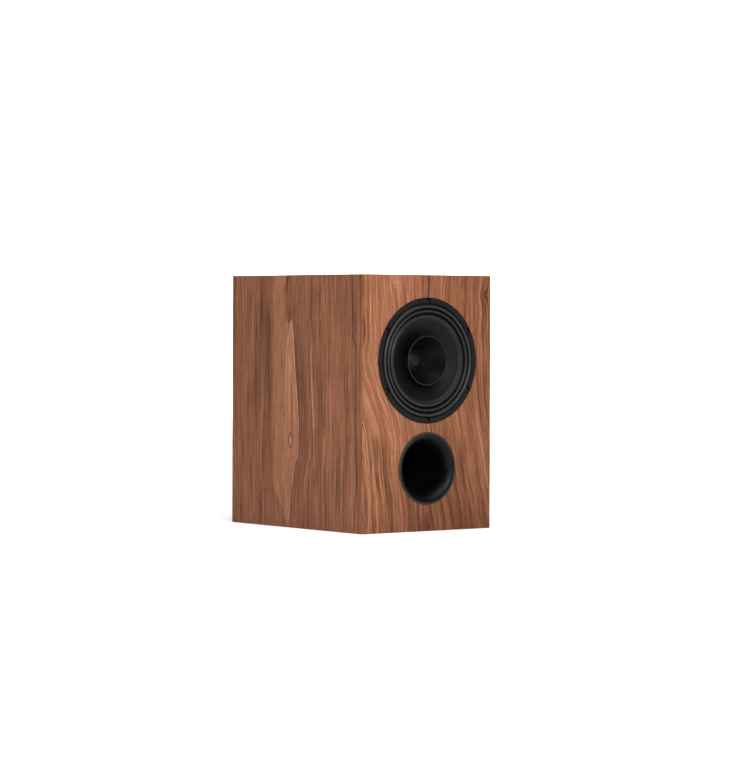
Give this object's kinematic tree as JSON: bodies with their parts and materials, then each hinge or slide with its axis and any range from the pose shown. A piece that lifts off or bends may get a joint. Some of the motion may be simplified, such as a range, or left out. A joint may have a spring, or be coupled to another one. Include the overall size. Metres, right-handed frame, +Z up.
{
  "type": "bookshelf speaker",
  "caption": "Walnut-veneered bookshelf speaker with a dual-cone full-range driver, a flared front port and rear binding posts.",
  "frame": {"origin": "centre of the bottom face", "axes": "+Z up, -Y out of the front baffle, +X to the listener's right"},
  "size_m": [0.22, 0.301, 0.343],
  "materials": {
    "walnut_front": "walnut veneer with flowing flat-cut grain, satin oil",
    "walnut_side": "walnut veneer with straight grain, satin oil",
    "board_core": "raw fibreboard",
    "felt": "grey wool felt",
    "trim_plastic": "matte black moulding",
    "basket_steel": "black powder coat",
    "foam": "closed-cell foam",
    "screw_black": "black phosphate",
    "surround_cloth": "doped cloth, satin",
    "cone_paper": "black coated paper",
    "whizzer_paper": "black paper, slightly brown",
    "cap_cloth": "doped black cloth",
    "former_foil": "thin foil",
    "coil_copper": "enamelled copper wire",
    "spider_cloth": "resin-dipped cotton",
    "plated_steel": "zinc plated",
    "ferrite": "dark grey ferrite",
    "tag_board": "phenolic board",
    "tag_brass": "tinned brass",
    "lead_braid": "copper braid",
    "port_plastic": "satin black moulding",
    "port_card": "black card tube",
    "cup_plastic": "fine-textured black moulding",
    "post_brass": "gold flash plating",
    "red_plastic": "red moulding",
    "black_plastic": "black moulding",
    "washer_plastic": "nylon",
    "red_pvc": "red insulation",
    "black_pvc": "black insulation"
  },
  "bodies": {
    "cabinet": {"front_baffle": "walnut_front", "left_panel": "walnut_side", "right_panel": "walnut_side", "top_panel": "walnut_side", "bottom_panel": "walnut_side", "rear_panel": "walnut_side", "shelf_brace": "board_core", "rear_cleats": "board_core", "lining_left": "felt", "lining_right": "felt", "lining_top": "felt", "lining_rear": "felt", "trim_ring": "trim_plastic", "basket": "basket_steel", "basket_gasket": "foam", "driver_screws": "screw_black", "basket_rivets": "plated_steel", "tag_strip": "tag_board", "driver_tags": "tag_brass", "top_plate": "plated_steel", "magnet": "ferrite", "yoke": "plated_steel", "port_flare": "port_plastic", "port_tube": "port_card", "port_rear_flare": "port_plastic", "terminal_cup": "cup_plastic", "cup_gasket": "foam", "cup_screws": "screw_black", "insulating_washers": "washer_plastic", "red_post": "post_brass", "black_post": "post_brass", "red_collar": "red_plastic", "black_collar": "black_plastic", "post_nuts": "plated_steel", "post_tags": "tag_brass", "red_wire": "red_pvc", "black_wire": "black_pvc", "rear_push_ons": "tag_brass", "driver_push_ons": "tag_brass"},
    "moving_assembly": {"surround": "surround_cloth", "cone": "cone_paper", "whizzer_cone": "whizzer_paper", "dust_cap": "cap_cloth", "voice_coil_former": "former_foil", "voice_coil": "coil_copper", "spider": "spider_cloth", "tinsel_leads": "lead_braid"},
    "red_clamp": {"red_clamp_washer": "post_brass"},
    "red_knob_body": {"red_knob": "red_plastic", "red_knob_insert": "post_brass"},
    "black_clamp": {"black_clamp_washer": "post_brass"},
    "black_knob_body": {"black_knob": "black_plastic", "black_knob_insert": "post_brass"}
  },
  "joints": [
    {"name": "cone_travel", "type": "slide", "parent": "cabinet", "child": "moving_assembly", "axis": [0, -1, 0], "range_m": [-0.003, 0.003], "stiffness_N_per_m": 1200, "deforming": ["surround", "spider", "tinsel_leads"]},
    {"name": "red_clamp_travel", "type": "slide", "parent": "cabinet", "child": "red_clamp", "axis": [0, 1, 0], "range_m": [0, 0.005]},
    {"name": "red_knob_turn", "type": "hinge", "parent": "red_clamp", "child": "red_knob_body", "pos_m": [-0.00953, 0.133, 0.092], "axis": [0, 1, 0], "range_deg": [0, 1801]},
    {"name": "black_clamp_travel", "type": "slide", "parent": "cabinet", "child": "black_clamp", "axis": [0, 1, 0], "range_m": [0, 0.005]},
    {"name": "black_knob_turn", "type": "hinge", "parent": "black_clamp", "child": "black_knob_body", "pos_m": [0.00953, 0.133, 0.092], "axis": [0, 1, 0], "range_deg": [0, 1801]}
  ],
  "couplings": [
    {"joint": "red_knob_turn", "follows": "red_clamp_travel", "rad_per_m": 6283.2},
    {"joint": "black_knob_turn", "follows": "black_clamp_travel", "rad_per_m": 6283.2}
  ]
}
